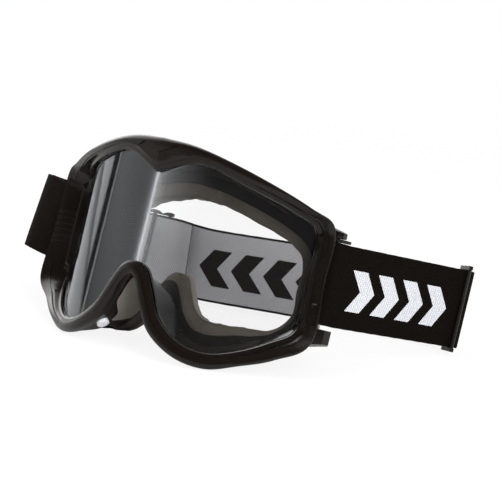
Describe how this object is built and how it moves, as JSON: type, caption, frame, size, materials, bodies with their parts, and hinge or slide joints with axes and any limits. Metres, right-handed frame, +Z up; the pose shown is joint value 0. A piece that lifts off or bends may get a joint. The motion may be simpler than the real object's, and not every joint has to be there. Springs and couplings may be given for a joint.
{
  "type": "motocross goggles",
  "caption": "Motocross goggles: vented frame with a bent clear lens, layered face foam, swivelling strap clips and an elastic head strap adjusted by sliders.",
  "frame": {"origin": "middle of the bounding box's bottom face, on the surface that the goggles lie on", "axes": "+X towards the wearer's left along the longest extent, +Z up from the surface; the lens looks along -Y, leaned back by 14.1 degrees"},
  "size_m": [0.2176, 0.1675, 0.1036],
  "materials": {
    "frame_plastic": "satin",
    "clear_lens": "clear",
    "filter_foam": "open cell",
    "base_foam": "open cell",
    "fleece": "brushed",
    "clear_plastic": "translucent",
    "pin_steel": "drawn",
    "clip_plastic": "fine grain",
    "slider_plastic": "fine grain",
    "webbing": "woven"
  },
  "bodies": {
    "goggle": {"frame": "frame_plastic", "lens": "clear_lens", "upper_vent_filter": "filter_foam", "lower_vent_filters": "filter_foam", "face_foam": "base_foam", "face_fleece": "fleece", "nose_studs": "clear_plastic", "hinge_pins": "pin_steel", "left_strap_run": "webbing", "left_strap_return": "webbing", "rear_strap": "webbing", "right_strap_return": "webbing", "right_strap_run": "webbing"},
    "left_clip": {"left_clip": "clip_plastic", "left_strap_loop": "webbing"},
    "right_clip": {"right_clip": "clip_plastic", "right_strap_loop": "webbing"},
    "left_slider": {"left_slider": "slider_plastic", "left_strap_crossing": "webbing", "left_strap_tail": "webbing"},
    "right_slider": {"right_slider": "slider_plastic", "right_strap_crossing": "webbing", "right_strap_tail": "webbing"}
  },
  "joints": [
    {"name": "left_clip_hinge", "type": "hinge", "parent": "goggle", "child": "left_clip", "pos_m": [0.0887, -0.02951, 0.04421], "axis": [0, 0.2443, 0.9697], "range_deg": [-11, 11], "deforming": ["left_strap_run", "left_strap_return"]},
    {"name": "right_clip_hinge", "type": "hinge", "parent": "goggle", "child": "right_clip", "pos_m": [-0.0739, -0.02951, 0.04421], "axis": [0, 0.2443, 0.9697], "range_deg": [-11, 11], "deforming": ["right_strap_run", "right_strap_return"]},
    {"name": "left_slider_slide", "type": "slide", "parent": "goggle", "child": "left_slider", "axis": [-0.1425, -0.9688, 0.2029], "range_m": [0, 0.025], "deforming": ["left_strap_run", "left_strap_return", "rear_strap"]},
    {"name": "right_slider_slide", "type": "slide", "parent": "goggle", "child": "right_slider", "axis": [-0.8822, -0.4451, 0.1534], "range_m": [0, 0.015], "deforming": ["right_strap_run", "right_strap_return", "rear_strap"]}
  ]
}
